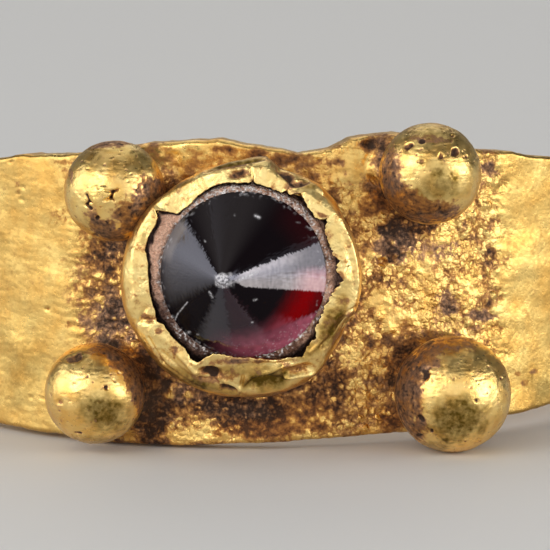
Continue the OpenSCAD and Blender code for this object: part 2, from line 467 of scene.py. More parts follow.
def gold_colour(look, dirt_and_shade, patch, fine):
    """Clean gold, deep or with a painted pale highlight, under the colours of its dirt and painted
    shade, and of painted olive shade.
    """
    gold = mix(look.cloud(1.6), GOLD_BRIGHT, GOLD_DEEP)
    # A painted pale highlight
    gold = mix(look.mark("painted_highlight"), gold, GOLD_PAINTED_HIGHLIGHT)
    hue = look.mark("hue") + patch.ramp(0, 1, -0.35, 0.35)
    cover = mix(hue.ramp(0, 1), dirt_colour(dirt_and_shade, DIRT_BROWN), dirt_colour(dirt_and_shade, DIRT_PURPLE))
    cover = mix(hue.ramp(0, -1), cover, dirt_colour(dirt_and_shade, DIRT_ORANGE))
    colour = mix(dirt_and_shade.ramp(0.08, 0.42), gold, cover)
    # Painted olive shade, where the gold would mirror dark surroundings
    painted_shade = look.mark("painted_shade") * fine.ramp(0, 1, 0.7, 1.15) * dirt_and_shade.ramp(0.35, 0.7, 1, 0.2)
    return mix(painted_shade, colour, GOLD_PAINTED_SHADE)


def gold_material():
    """Worn gold. Marks: its dirt, with painted shade in creases and at feet, hue, which dirt from
    orange at -1 over brown to purple at 1, painted olive shade that darkens it, a painted pale
    highlight, shine, which polishes it, and grain, which makes it granular."""
    look = Look("gold")
    patch = look.cloud(4)
    fine = look.cloud(9)
    grit = look.cloud(22, detail=3, low=0.4, high=0.6)
    cells, chance = gold_cells(look)
    grain = look.mark("grain")

    # Dirt, with the painted shade that the pieces put in creases and at feet
    dirt_and_shade = look.mark("dirt_and_shade") + grit.ramp(0, 1, -0.05, 0.05) + fine.ramp(0, 1, -0.13, 0.13)
    dirt_and_shade = dirt_and_shade + patch.ramp(0, 1, -0.13, 0.13) + grain * cells.ramp(0, 1, 0.16, -0.14)
    flecks = chance.ramp(0.55, 0.75) * cells * grain.ramp(0, 1, 0.15, 1)
    dirt_and_shade = dirt_and_shade - flecks * dirt_and_shade.ramp(0.55, 0.85, 1, 0.15) * 0.4

    dull = fine.ramp(0, 1, 0.27, 0.40) - look.mark("shine")
    height = (grit * 0.4 + fine) * grain.ramp(0, 1, 0.10, 0.35) + cells * grain * 0.6
    return look.shaded({
        "Base Color": gold_colour(look, dirt_and_shade, patch, fine),
        "Roughness": dirt_and_shade.ramp(0.2, 0.8) * 0.27 + dull,
        "Metallic": dirt_and_shade.ramp(0.35, 0.85, 1, 0.3),
        "Specular IOR Level": 0.2,
        "Normal": fine_relief(height, GOLD_DEPTH),
    })


# The darkest paste, also used for painted shade in the gap under the lip
PASTE_DARK = (0.040, 0.016, 0.014)
PASTE_BROWN = (0.20, 0.085, 0.045)
PASTE_PINK = (1.0, 0.61, 0.43)
PASTE_FROST = (0.95, 0.90, 0.87)
PASTE_DEPTH = 0.03


def paste_material():
    """Crusted setting paste. Marks: pink says where it is pale pink and not brown, depth where it
    is dark, as painted shade in the gap under the lip and as its own dark brown, and frost where
    pale grains lie on it."""
    look = Look("bedding_paste")
    grit = look.cloud(15, detail=3, low=0.42, high=0.62)
    pink = look.mark("pink") + look.cloud(7).ramp(0, 1, -0.5, 0.35)
    colour = mix(pink.ramp(0, 1), PASTE_BROWN, PASTE_PINK)
    colour = mix(grit.ramp(0.6, 0, 0, 0.3), colour, PASTE_BROWN)
    # Painted shade in the gap under the lip, and the paste's own dark brown
    colour = mix(look.mark("depth"), colour, PASTE_DARK)
    colour = mix(grit.ramp(0, 1, 0.1, 1) * look.mark("frost"), colour, PASTE_FROST)
    relief = fine_relief(grit, PASTE_DEPTH)
    return look.shaded({"Base Color": colour, "Roughness": 0.75, "Normal": relief})


GARNET_DARK = (0.006, 0.004, 0.005)
# Colours of painted light: red light coming out of the stone, rosy light at its rim, and a pale and
# a pink highlight
GARNET_RED = (0.20, 0.0, 0.001)
GARNET_PAINTED_ROSY_LIGHT = (0.34, 0.08, 0.12)
GARNET_PAINTED_HIGHLIGHT = (0.58, 0.52, 0.51)
GARNET_PAINTED_PINK = (0.72, 0.46, 0.45)
GARNET_WORN = (0.66, 0.64, 0.66)
GARNET_SHEEN = (0.83, 0.83, 1.0)
GARNET_IOR = 1.77


def garnet_material():
    """Polished, very dark garnet. Marks: glow is painted red light coming out of it, then painted
    rosy light and a painted pale highlight where the rim is thin and in the wedge at its right,
    worn where the tip and some scratches are dull, haze where the polish is soft, and painted
    shade where the surface is made to mirror little. Where glow and the highlight meet, the
    highlight is pink."""
    look = Look("garnet")
    # Painted red light, painted rosy light and a painted pale highlight over the dark stone
    colour = mix(look.mark("glow"), GARNET_DARK, GARNET_RED)
    colour = mix(look.mark("painted_rosy_light"), colour, GARNET_PAINTED_ROSY_LIGHT)
    painted_highlight = mix(look.mark("glow").ramp(0, 0.3), GARNET_PAINTED_HIGHLIGHT, GARNET_PAINTED_PINK)
    colour = mix(look.mark("painted_highlight"), colour, painted_highlight)
    grit = look.cloud(16, detail=3, low=0.42, high=0.6)
    worn = look.mark("worn") * grit.ramp(0, 1, 0.25, 1)
    return look.shaded({
        "Base Color": mix(worn, colour, GARNET_WORN),
        "Roughness": look.mark("haze") * 0.3 + worn.ramp(0, 1, 0.07, 0.6),
        # Painted shade: the stone mirrors less in the sectors where its reflection should be dark
        "Specular IOR Level": look.mark("dark").ramp(0, 1, 0.5, 0.02),
        "Specular Tint": GARNET_SHEEN,
        "IOR": GARNET_IOR,
    })


# The hoop

# Spots on the hoop: column, row, half width, half height, strength, and degrees if turned.
# First its dirt, with painted shade under the upper right granule and beside the lower left one
HOOP_DIRT_AND_SHADE = [
    (108, 252, 20, 26, 1, 20), (116, 325, 18, 26, 0.8), (104, 290, 30, 58, 0.35),
    (82, 270, 20, 52, 0.25), (410, 322, 62, 26, -0.15), (151, 392, 19, 58, 3),
    (60, 215, 13, 11, 0.35), (64, 172, 4, 8, 0.6), (68, 324, 5, 5, 0.55), (64, 162, 10, 3, 0.7),
    (158, 188, 10, 20, 0.4, 45), (155, 149, 8, 4, 0.8), (168, 150, 7, 3, 0.8),
    (222, 149, 9, 3, 0.7), (258, 153, 9, 4, 0.9), (215, 158, 50, 12, 0.4),
    (285, 159, 18, 6, 0.95, 8), (318, 163, 30, 6, 0.5), (330, 180, 20, 14, 0.15),
    (368, 144, 8, 5, 1.5), (386, 170, 9, 30, 0.8), (240, 412, 46, 15, 1.6),
    (142, 236, 10, 26, 0.9, 10), (186, 396, 24, 14, 0.65), (175, 425, 20, 6, 0.3),
    (304, 404, 34, 20, 1.15), (270, 430, 56, 8, 1.3, 3), (335, 380, 14, 24, 0.75, 20),
    (190, 436, 42, 7, -0.7), (372, 205, 14, 12, 0.75), (408, 227, 22, 8, 3),
    (410, 226, 28, 13, 0.6), (394, 256, 10, 7, 1.2, 20), (398, 244, 18, 12, 0.8, 20),
    (490, 170, 8, 8, 0.6), (449, 303, 9, 10, 0.8), (482, 316, 20, 4, 0.8), (405, 328, 9, 9, 0.6),
    (372, 342, 16, 8, 0.35), (440, 250, 16, 12, 0.4), (490, 258, 9, 10, 0.5),
    (392, 368, 9, 16, 0.85), (390, 420, 12, 12, 0.7), (345, 405, 18, 20, 0.3),
    (402, 346, 16, 9, 0.6, -30), (520, 375, 4, 3, 0.8), (537, 372, 5, 3, 0.8),
    (527, 383, 4, 4, 0.7), (16, 186, 3, 8, 0.35, 20), (46, 309, 2, 2, 0.9), (8, 161, 2, 2, 0.6),
]
# Where the dirt is purple, or with a minus orange
HOOP_HUE = [
    (113, 322, 26, 26, 1), (240, 411, 40, 10, 0.6), (396, 248, 24, 18, 1), (449, 303, 12, 12, 1),
    (482, 316, 22, 6, 1), (440, 250, 20, 15, 0.8), (390, 152, 14, 16, 0.6), (490, 170, 10, 10, 0.8),
    (115, 250, 14, 20, 0.6), (386, 175, 10, 28, 0.7), (186, 392, 24, 12, 0.6),
    (372, 205, 16, 14, -1), (390, 420, 16, 12, -1), (140, 360, 10, 18, -0.8),
    (265, 429, 60, 9, -1.2, 3), (75, 225, 20, 18, -0.5), (500, 350, 12, 30, -0.6),
    (305, 412, 30, 18, -0.9), (215, 155, 60, 14, -0.8), (285, 159, 18, 6, -0.5, 8),
]
# Where the hoop is less granular, or with a minus more
HOOP_GRAINLESS = [
    (215, 158, 80, 22, 0.9), (320, 172, 50, 20, 0.6), (357, 165, 18, 34, 0.6),
    (300, 412, 40, 22, 0.5), (190, 434, 46, 12, -0.8), (360, 400, 26, 44, -0.2),
    (102, 292, 26, 60, -0.3), (240, 412, 50, 16, -0.9), (180, 405, 20, 16, -0.5),
]
# Its pits, with a depth as their strength
HOOP_PITS = [
    (383, 262, 5, 4, 0.12), (397, 252, 8, 5, -0.08, 15), (9, 161, 1.5, 1.5, 0.04),
    (21, 187, 1.5, 1.5, 0.04), (16, 193, 1.5, 1.5, 0.04), (20, 199, 1.3, 2, 0.04),
    (46, 309, 2, 1.8, 0.05), (29, 398, 1.5, 1.2, 0.04), (41, 399, 1.5, 1.2, 0.04),
    (368, 143, 4, 3, 0.08), (410, 224, 18, 7, 0.06),
]
# Columns over which the grain, the flakes and the painted olive shade come and go
GRAIN_STARTS = (215, 300)
GRAIN_STOPS = (512, 488)
FLAKES_START = (55, 115)
FLAKES_STOP = (520, 490)
PAINTED_SHADE_RIGHT = (485, 515)
PAINTED_SHADE_LEFT = (160, 70)
# Columns where the left grain, the foil-like ridges and the painted pale highlight start, are
# full, begin to fade and end
GRAIN_LEFT = (60, 120, 230, 300)
FOIL_COLUMNS = (60, 90, 160, 190)
PALE_COLUMNS = (300, 420, 480, 505)
# Angles off the front over which the hoop's finish fades into the plain back
FRONT_FADE = (62, 46)
# Layers of noise, as strength, size and seed, and how far the flakes lean for their height
FLAKES = [(1, (0.30, 0.30, 0.11), 27), (0.6, (0.14, 0.14, 0.07), 34)]
BLOTCHES = [(0.5, 0.55, 28), (0.6, 0.26, 32)]
FLAKE_SLANT = 0.5
FOIL_SIZE = (0.42, 0.42, 0.17)
EDGE_SEEDS = (11, 12)
# The most that dirt comes to, and how dirty the hoop is inside
DIRT_LIMIT = 0.95
INSIDE_DIRT = 0.15
# The collet's foot: its radius, and how far its middle lies lower than the collet's
FOOT_R = 2.8
FOOT_DROP = 0.1


def edge_heights(angles):
    """The heights of both edges at angles in degrees."""
    near = np.clip(angles, -FRONT_ANGLE, FRONT_ANGLE)
    shrink = (1 + np.cos(np.radians(angles))) / (1 + math.cos(math.radians(FRONT_ANGLE)))
    shrink = np.where(np.abs(angles) > FRONT_ANGLE, shrink ** BACK_TAPER, 1)
    places = on_hoop(HOOP_R, np.radians(angles), 0)
    heights = []
    for column, seed in enumerate(EDGE_SEEDS, 1):
        height = np.interp(near, EDGES[:, 0], EDGES[:, column])
        height = np.sign(height) * (BACK_HALF_W + (np.abs(height) - BACK_HALF_W) * shrink)
        heights.append(height + layers(places, [(0.02, 0.5, seed), (0.01, 0.16, seed + 2)]))
    return heights


def granule_place(right, radius):
    """The angle round the ring of a granule's middle, and how far it lies from the axis."""
    out = HOOP_R + GRANULE_SEAT * radius
    return math.asin(right / out), out


def from_granules(points, angles):
    """For each granule, how far points of the hoop lie from its middle, and its radius."""
    for right, up, radius in GRANULES.values():
        angle, _ = granule_place(right, radius)
        yield np.hypot(HOOP_R * (angles - angle), points[..., 2] - up), radius


def crevice(points, angles):
    """How close points of the hoop lie to the foot of the collet or of a granule, from 0 at
    half a millimetre away to 1 at the foot."""
    up = points[..., 2] - COLLET_Z + FOOT_DROP
    close = smooth(0.45, 0, np.hypot(HOOP_R * (angles - COLLET_ANGLE), up) - FOOT_R)
    for apart, radius in from_granules(points, angles):
        close = np.maximum(close, smooth(0.35, -0.05, apart - radius))
    return close


def solder(points, angles):
    """How far the solder runs up round the granules' feet."""
    return np.maximum.reduce([
        0.25 * radius * smooth(1.05, 0.75, apart / radius)
        for apart, radius in from_granules(points, angles)
    ])


def hoop_textures(points, at, drift):
    """Where the hoop is granular, its flakes, and its foil-like ridges."""
    columns = at[0]
    grainy = smooth(*GRAIN_STARTS, columns) * smooth(*GRAIN_STOPS, columns + 14 * drift)
    grainy = np.maximum(grainy, 0.75 * between(columns, *GRAIN_LEFT))
    grainy *= 0.35 + 0.65 * smooth(-0.5, 0.35, noise(points, 0.8, 22) + 0.35)
    grainy = np.clip(grainy - spots(at, HOOP_GRAINLESS, drift), 0, 1)
    slanted = points + FLAKE_SLANT * points[..., 2:] * VIEW_RIGHT
    flakes = layers(slanted, FLAKES) * smooth(*FLAKES_STOP, columns)
    flakes *= 0.25 + 0.75 * smooth(*FLAKES_START, columns)
    foil = smooth(0.05, 0.4, noise(slanted, FOIL_SIZE, 35)) * between(columns, *FOIL_COLUMNS)
    return grainy, flakes, foil


def hoop_colours(points, at, front, drift):
    """Which dirt the hoop has, where it has painted olive shade and a painted pale highlight, and
    where it is shiny.
    """
    # Painted olive shade, stronger towards both ends
    painted_shade = 0.2 * smooth(0.1, 0.8, noise(points, 1.4, 30))
    painted_shade += 0.42 * smooth(*PAINTED_SHADE_RIGHT, at[0]) + 0.26 * smooth(*PAINTED_SHADE_LEFT, at[0])
    # A painted pale highlight
    painted_highlight = 0.3 * between(at[0], *PALE_COLUMNS) * smooth(-0.2, 0.6, drift)
    return {
        "hue": (spots(at, HOOP_HUE, drift) + 0.25 * noise(points, 0.7, 29)) * front,
        "painted_shade": painted_shade,
        "shine": 0.05 * smooth(0.2, 0.8, noise(points, 0.8, 31)),
        "painted_highlight": painted_highlight * front,
    }


def hoop_surface(points, angles):
    """The relief of the hoop's outer side and its marks."""
    at = on_photo(points)
    front = smooth(*FRONT_FADE, np.degrees(np.abs(angles)))
    drift = noise(points, 0.35, 21)
    grainy, flakes, foil = (x * front for x in hoop_textures(points, at, drift))
    grains = lumps(points, 0.18, 23)
    nuggets = lumps(points, 0.34, 24)
    relief = 0.026 * noise(points, 0.95, 25) + 0.007 * noise(points, 0.42, 26) * front
    relief += 0.012 * flakes + 0.03 * foil + solder(points, angles)
    relief += grainy * (0.032 * (grains - 0.5) + 0.075 * (nuggets - 0.5))
    relief -= spots(at, HOOP_PITS, 0.3 * drift) * front

    low = smooth(0.62, 0.12, 0.4 * grains + 0.6 * nuggets)
    blotch = layers(points, BLOTCHES)
    ragged = drift + 0.8 * noise(points, 0.14, 33)
    dirt_and_shade = 0.8 * spots(at, HOOP_DIRT_AND_SHADE, ragged) * (0.45 + 0.55 * low) * front * (1 - 0.7 * foil)
    dirt_and_shade += grainy * (low * (0.34 + 0.35 * blotch) + 0.20 * blotch - 0.05)
    dirt_and_shade += 0.13 * smooth(0.1, -0.6, flakes) * front
    # Dirt and painted shade at the feet of the collet and the granules
    dirt_and_shade += crevice(points, angles) * (0.3 + 0.45 * blotch)
    dirt_and_shade = np.where(dirt_and_shade > 0, DIRT_LIMIT * np.tanh(dirt_and_shade / DIRT_LIMIT), dirt_and_shade)
    dirt_and_shade += (1 - front) * (0.12 + 0.4 * smooth(0.25, 0.7, blotch))
    return relief, {"dirt_and_shade": dirt_and_shade, "grain": grainy, **hoop_colours(points, at, front, drift)}


def hoop(material):
    """The band of sheet: each column of the mesh is a closed loop round the sheet."""
    degrees = np.concatenate([np.arange(a, b - 1e-6, step) for a, b, step in COLUMN_STEPS])
    angles = np.radians(degrees)[:, None]
    top, bottom = (h[:, None] for h in edge_heights(degrees))
    heights = bottom + (top - bottom) * np.linspace(0, 1, OUTER_ROWS)
    wide = np.broadcast_to(angles, heights.shape)
    relief, marks = hoop_surface(on_hoop(HOOP_R, angles, heights), wide)
    near_edge = np.clip(1 - np.minimum(top - heights, heights - bottom) / EDGE_ROUND, 0, 1)
    radii = HOOP_R + relief - EDGE_ROUND * (1 - np.sqrt(1 - near_edge ** 2))

    inset = EDGE_ROUND / 2
    inner_heights = top - inset + (bottom - top + 2 * inset) * np.linspace(0, 1, INNER_ROWS)
    points = np.concatenate([
        on_hoop(radii, angles, heights),
        on_hoop(BORE_R + inset, angles, top),
        on_hoop(BORE_R, angles, inner_heights),
        on_hoop(BORE_R + inset, angles, bottom),
    ], 1)
    unseen = ((0, 0), (0, points.shape[1] - OUTER_ROWS))
    for key, values in marks.items():
        level = INSIDE_DIRT if key == "dirt_and_shade" else 0
        marks[key] = np.pad(values, unseen, constant_values=level)
    faces = grid_faces(*points.shape[:2], closed_rows=True, closed_columns=True)[:, ::-1]
    return make_piece("hoop", points, faces, marks, material, "hoop_and_setting")


# The collet

# Readings round the collet, anticlockwise from the right: an angle in degrees, and a radius
# in pixels of the photograph
LIP_EDGE = [
    (0, 102), (4, 98), (7, 97), (11, 101), (15, 96), (25, 96), (30, 97), (33, 103), (35.5, 106),
    (37, 100), (40, 97.5), (45, 99), (50, 101), (53, 104), (54.5, 108), (57, 104), (60, 98),
    (62, 104), (65, 96), (75, 97), (80, 97), (81.5, 99), (82.5, 104), (83.5, 99), (85, 97),
    (90, 97), (100, 98), (105, 97.5), (110, 96), (120, 92), (125, 90), (133, 90), (137, 100),
    (139, 106), (140.5, 110), (143, 103), (147, 100), (155, 101), (163, 100), (165, 97), (170, 93),
    (180, 91), (190, 90.5), (200, 90), (206, 93), (210, 88), (220, 88), (230, 87), (236, 90),
    (238, 92), (243, 92), (247, 83), (250, 79), (254, 77), (262, 77.5), (270, 78.5), (280, 80),
    (285, 82), (290, 85), (295, 89), (300, 90), (305, 95), (309, 99), (315, 95), (323, 95),
    (328, 89), (340, 89), (345, 90), (350, 93), (355, 96),
]
BEND = [
    (0, 119), (20, 118), (32, 116), (40, 115), (55, 110), (70, 110), (78, 116), (86, 113),
    (100, 110), (120, 110), (140, 113), (160, 111), (180, 109), (200, 109), (220, 109), (240, 107),
    (255, 103), (270, 100), (290, 101), (305, 106), (320, 108), (335, 110), (345, 116),
]
OUTLINE = [
    (0, 121.5), (20, 121.5), (30, 120), (40, 123), (50, 124), (60, 119), (70, 118), (74, 122),
    (78, 125.5), (83, 123), (88, 120), (100, 117), (115, 114), (130, 114), (140, 117), (150, 118.5),
    (200, 118.5), (210, 117), (240, 117.5), (270, 116.5), (280, 118.5), (300, 121), (310, 121),
    (320, 117), (340, 115), (347, 120),
]
COLLET_COLUMNS = 720
LIP_H = 1.66
LIP_RISE = [(238, 0), (250, 0.22), (290, 0.22), (302, 0)]
SHEET_EDGE_T = 0.06
WALL_T = 0.24
# Stations up the collet's outer side: height, and the shares of the foot's and of the lip's
# radius in it, the rest being the bend's
COLLET_STATIONS = [
    (-0.35, 1, 0), (0.3, 1, 0), (0.9, 0.98, 0), (1.2, 0.86, 0), (1.38, 0.60, 0), (1.49, 0.26, 0),
    (1.56, 0.04, 0.05), (1.60, 0, 0.3), (1.63, 0, 0.65), (LIP_H, 0, 1),
]
COLLET_SUBSTEPS = 6
# Where the cup's floor and the collet's foot lie to the hoop's surface, and the level of
# every mark on what doesn't show
CUP_FLOOR = 0.15
FOOT_SUNK = -0.35
UNSEEN_MARK = 0.3
# Creases of the collet, or with a minus its ridges: column and row of both ends, half a
# width, depth
COLLET_CREASES = [
    (206, 171, 268, 157, 2.2, 0.08), (343, 232, 351, 262, 3.5, 0.022),
    (351, 262, 355, 290, 3.5, 0.022), (349, 228, 356, 262, 3.5, -0.012),
    (139, 322, 146, 308, 1.8, 0.05), (141, 320, 163, 319, 2.2, 0.05),
    (145, 326, 166, 323, 2.2, -0.02), (345, 313, 357, 306, 1.6, 0.05),
    (133, 250, 136, 300, 3, -0.03), (200, 378, 216, 380, 2, 0.07), (285, 378, 318, 371, 1.7, -0.10),
    (318, 371, 325, 361, 1.7, -0.08), (250, 378, 281, 366, 1.8, -0.07),
    (236, 396, 248, 378, 2.2, -0.07), (196, 371, 226, 381, 1.8, -0.035),
    (226, 381, 244, 392, 2.2, -0.045), (149, 337, 163, 362, 1.2, 0.05),
    (163, 362, 192, 384, 1.2, 0.035), (243, 376, 240, 396, 1.6, 0.07),
    (176, 352, 196, 372, 2.5, -0.06), (240, 366, 290, 362, 2.5, 0.05),
    (322, 345, 343, 318, 3, 0.08), (310, 352, 334, 330, 2, -0.05), (160, 350, 190, 376, 2.5, 0.05),
    (135, 220, 160, 190, 2.5, 0.03), (180, 175, 230, 168, 2, -0.03),
    (324, 193, 344, 216, 2.2, 0.03), (310, 196, 330, 213, 2, -0.015),
    (152, 330, 196, 362, 5, -0.05), (250, 165, 252, 180, 1.2, 0.04),
    (306, 178, 322, 194, 1.6, -0.06), (337, 290, 348, 268, 2, -0.04),
]
# Spots on the collet, in columns as on the hoop: its hollows with a depth, its dirt with painted
# shade in hollows and creases, and its painted olive shade
COLLET_HOLLOWS = [
    (211, 372, 10, 5.5, 0.16, -12), (229, 388, 9, 3.5, 0.09, -15), (266, 382, 21, 8, 0.13, 3),
    (299, 369, 14, 5, 0.10, 10), (286, 176, 12, 3.5, 0.10, -45), (300, 184, 9, 3, 0.07, 12),
    (238, 175, 12, 4, 0.04, 8), (336, 333, 6, 20, 0.05, -32),
]
COLLET_DIRT_AND_SHADE = [
    (238, 175, 12, 4, 0.75, 8), (286, 176, 13, 4, 0.85, -45), (301, 184, 9, 3.5, 0.7, 12),
    (299, 369, 14, 4.5, 0.55, 10), (211, 372, 9.5, 5, 1.1, -12), (229, 388, 9, 3, 1, -15),
    (250, 362, 30, 2.5, 0.35), (208, 380, 12, 2.5, 0.5, -10), (159, 330, 4, 4, 0.6),
    (218, 362, 20, 3, 0.3), (322, 216, 6, 3, 0.6, -30), (235, 166, 30, 2.5, 0.3, 12),
    (152, 317, 11, 4, 0.35), (347, 332, 7, 22, 0.65, -32), (352, 314, 8, 3, 0.4, 20),
    (331, 326, 10, 26, 0.35, -25), (170, 352, 8, 20, 0.2, -45), (228, 376, 14, 5, 0.45, 5),
]
COLLET_PAINTED_SHADE = [
    (236, 164, 36, 3.5, 1, 12), (266, 381, 24, 9, 1, 4), (330, 326, 11, 28, 0.75, -22),
    (337, 322, 5, 20, 0.4, -25), (306, 352, 12, 8, 0.5, 30), (185, 378, 26, 8, 0.5, -30),
    (312, 184, 9, 6, 0.5), (255, 370, 44, 6, 0.45), (180, 186, 26, 3.5, 0.5, 38),
    (215, 388, 30, 5, 0.5, -15),
]
# Layers of noise, as on the hoop. The teeth's strengths are in pixels
COLLET_DENTS = [(0.028, 0.8, 42), (0.017, 0.35, 43), (0.006, 0.12, 44)]
TEETH = [(1.3, 0.09, 47), (0.8, 0.05, 48)]


def reading(table, angles):
    """What a table gives at angles, all the way round."""
    table = np.array(table)
    return np.interp(angles, table[:, 0], table[:, 1], period=360)


def torn(angles):
    """How far the lip's fine teeth reach in or out, in pixels: larger on the right."""
    places = round_collet(angles, reading(LIP_EDGE, angles), LIP_H)
    return layers(places, TEETH) * (0.7 + 0.6 * np.cos(np.radians(angles)) ** 3)


def lofted(angles, rings, substeps):
    """A smooth grid of points through rings round the collet, each given by its radii in
    pixels and its heights."""
    stations = np.stack([round_collet(angles, *ring) for ring in rings])
    padded = np.concatenate([stations[:1], stations, stations[-1:]])
    t = (np.arange(substeps) / substeps)[:, None, None]
    parts = []
    for a, b, c, d in zip(padded, padded[1:], padded[2:], padded[3:]):
        bend = 2 * a - 5 * b + 4 * c - d
        twist = 3 * b - 3 * c + d - a
        parts.append(b + 0.5 * t * ((c - a) + t * (bend + t * twist)))
    return np.concatenate(parts + [stations[-1:]])


def surface_normals(points):
    """Outward normals of a grid whose rows close round."""
    along = np.roll(points, -1, 1) - np.roll(points, 1, 1)
    normal = np.cross(along, np.gradient(points, axis=0))
    return normal / np.linalg.norm(normal, axis=-1, keepdims=True)


def collet_surface(points, share):
    """The relief of the collet's outer side and its marks. share is 0 at its foot and 1 at
    the torn edge."""
    at = on_photo(points)
    drift = noise(points, 0.3, 41)
    on_lip = smooth(0.3, 0.45, share)
    creases = lines(at, COLLET_CREASES)
    hollows = spots(at, COLLET_HOLLOWS, 0.6 * drift)
    relief = layers(points, COLLET_DENTS)
    relief -= (creases + hollows) * on_lip * smooth(1.0, 0.93, share)
    ragged = drift + 0.8 * noise(points, 0.1, 49)
    # Dirt, and painted shade along the creases
    dirt_and_shade = spots(at, COLLET_DIRT_AND_SHADE, ragged) + 0.7 * smooth(0.05, 0.14, creases)
    dirt_and_shade += 0.3 * smooth(0.1, 0.6, noise(points, 0.24, 50))
    # Painted olive shade
    painted_shade = spots(at, COLLET_PAINTED_SHADE, drift) * smooth(0.25, 0.4, share)
    painted_shade += 0.1 * smooth(0.1, 0.7, noise(points, 0.6, 45))
    # A painted pale highlight on the lip, less where it has painted olive shade
    painted_highlight = smooth(0.35, 0.5, share) * smooth(0.5, 0, painted_shade)
    return relief, {
        # Darker towards the foot
        "dirt_and_shade": dirt_and_shade * on_lip + smooth(0.30, 0.15, share) * (0.5 + 0.4 * drift),
        "hue": 0.3 + 0.5 * noise(points, 0.5, 46),
        "painted_shade": painted_shade,
        "shine": -0.04 * on_lip,
        "painted_highlight": painted_highlight * (0.65 + 0.35 * smooth(-0.3, 0.4, drift)),
        "grain": 0.35 * on_lip * smooth(-0.5, 0.3, drift),
    }


def collet_side():
    """The collet's outer side as a grid from its foot to its torn edge."""
    angles = np.arange(COLLET_COLUMNS) * 360 / COLLET_COLUMNS
    foot = reading(OUTLINE, angles)
    bend = reading(BEND, angles)
    lip = reading(LIP_EDGE, angles) + torn(angles)
    rise = reading(LIP_RISE, angles)
    rings = [
        (bend + of_foot * (foot - bend) + of_lip * (lip - bend), height + rise * of_lip)
        for height, of_foot, of_lip in COLLET_STATIONS
    ]
    return lofted(angles, rings, COLLET_SUBSTEPS)


def collet(material):
    """A cup of thin sheet: its outer side, the same sheet's inner side, and a floor."""
    outer = collet_side()
    share = np.broadcast_to(np.linspace(0, 1, len(outer))[:, None], outer.shape[:2])
    relief, marks = collet_surface(outer, share)
    outer = outer + relief[..., None] * surface_normals(outer)

    back = slice(None, len(outer) // 4, -2)
    thick = SHEET_EDGE_T + (WALL_T - SHEET_EDGE_T) * smooth(1, 0.5, share[back])
    inner = outer[back] - thick[..., None] * surface_normals(outer)[back]
    rows = len(outer) + len(inner)
    middles = on_hoop(HOOP_R + np.array([CUP_FLOOR, FOOT_SUNK]), COLLET_ANGLE, COLLET_Z)
    points = np.concatenate([part.reshape(-1, 3) for part in (outer, inner, middles)])
    faces = grid_faces(rows, COLLET_COLUMNS, closed_columns=True).tolist()
    ring = np.arange(COLLET_COLUMNS)
    faces += fan_faces((rows - 1) * COLLET_COLUMNS + ring, len(points) - 2)
    faces += fan_faces(ring, len(points) - 1, turned=True)
    marks = extended(marks, len(points), UNSEEN_MARK)
    return make_piece("collet", points, faces, marks, material, "hoop_and_setting")


# The granules

# Cracks of the granules: column and row of both ends, half a width, depth
GRANULE_CRACKS = [
    (87, 195, 90, 201, 1.1, 0.06), (90, 201, 87, 205, 1.2, 0.06), (87, 205, 92, 209, 1.3, 0.07),
    (90, 201, 93, 203, 0.9, 0.05), (119, 190, 114, 192, 1.1, 0.06), (114, 192, 106, 191, 1, 0.05),
    (114, 192, 112, 198, 1.3, 0.07), (112, 198, 105, 201, 1.2, 0.06),
    (112, 198, 115, 201, 0.9, 0.04),
]
# Spots on the granules, in columns as on the hoop: their pits, or with a minus bumps, their
# painted olive shade, their dirt, where that is orange, and where they shine
GRANULE_PITS = [
    (98, 218, 2, 2, 0.07), (101, 196, 11, 9, -0.05), (96, 236, 3, 2, 0.03),
    (454.6, 153, 4, 4, 0.12), (408, 147, 5, 3, 0.05, 20), (421, 142, 4, 2.5, 0.05, 20),
    (440, 157, 3, 3, 0.04), (421, 162, 3, 2, 0.03), (466, 157, 1.5, 1.5, 0.04),
    (452, 136, 2, 1.5, 0.04), (75, 358, 10, 4, 0.04, 15), (107, 387, 2, 2.5, 0.06),
    (78, 433, 4, 1.3, 0.05, -5), (60, 402, 3, 3, 0.03), (425, 373, 4, 6, 0.035),
    (421, 418, 4, 2, 0.06, -40), (419, 435, 3, 1.5, 0.04), (501, 378, 1.5, 1.5, 0.05),
    (476, 400, 2, 2, 0.04), (431, 431, 2, 2, 0.04), (465, 442, 2, 1.2, 0.03),
]
GRANULE_PAINTED_SHADE = [
    (438, 187, 24, 17, 0.6, 20), (104, 411, 23, 18, 0.86, -20), (457, 418, 28, 22, 0.88, 5),
    (430, 133, 34, 9, 0.5, -8), (112, 146, 36, 5, 0.2, 8), (76, 358, 12, 6, 0.6, 20),
    (458, 352, 22, 8, 0.3), (105, 232, 30, 8, 0.3, -25), (92, 160, 14, 8, 0.15),
    (440, 170, 20, 8, 0.4, -20), (95, 441, 30, 6, 0.5), (430, 447, 24, 6, 0.5, 10),
]
GRANULE_DIRT = [
    (156, 200, 22, 22, 1.1), (134, 216, 22, 19, 0.9), (108, 231, 22, 10, 0.8, -30),
    (112, 144, 30, 4, 0.7, 6), (92, 212, 8, 6, 0.3, 30), (391, 180, 11, 32, 0.7),
    (408, 206, 26, 16, 0.9, -30), (436, 210, 26, 11, 0.75), (407, 390, 14, 50, 0.75),
    (425, 360, 16, 14, 0.6, 40), (138, 378, 12, 40, 1.2, 15), (450, 344, 34, 8, 0.4),
    (416, 430, 12, 14, 0.4, 30), (124, 358, 24, 16, 0.8, -30), (402, 380, 12, 40, 0.8),
    (105, 347, 26, 6, 0.45, 15), (430, 140, 18, 5, 0.5, -5), (428, 215, 14, 6, 0.4),
    (70, 172, 3, 14, 0.4, 20), (421, 420, 6, 5, 0.6), (410, 345, 22, 9, 0.5, 30),
]
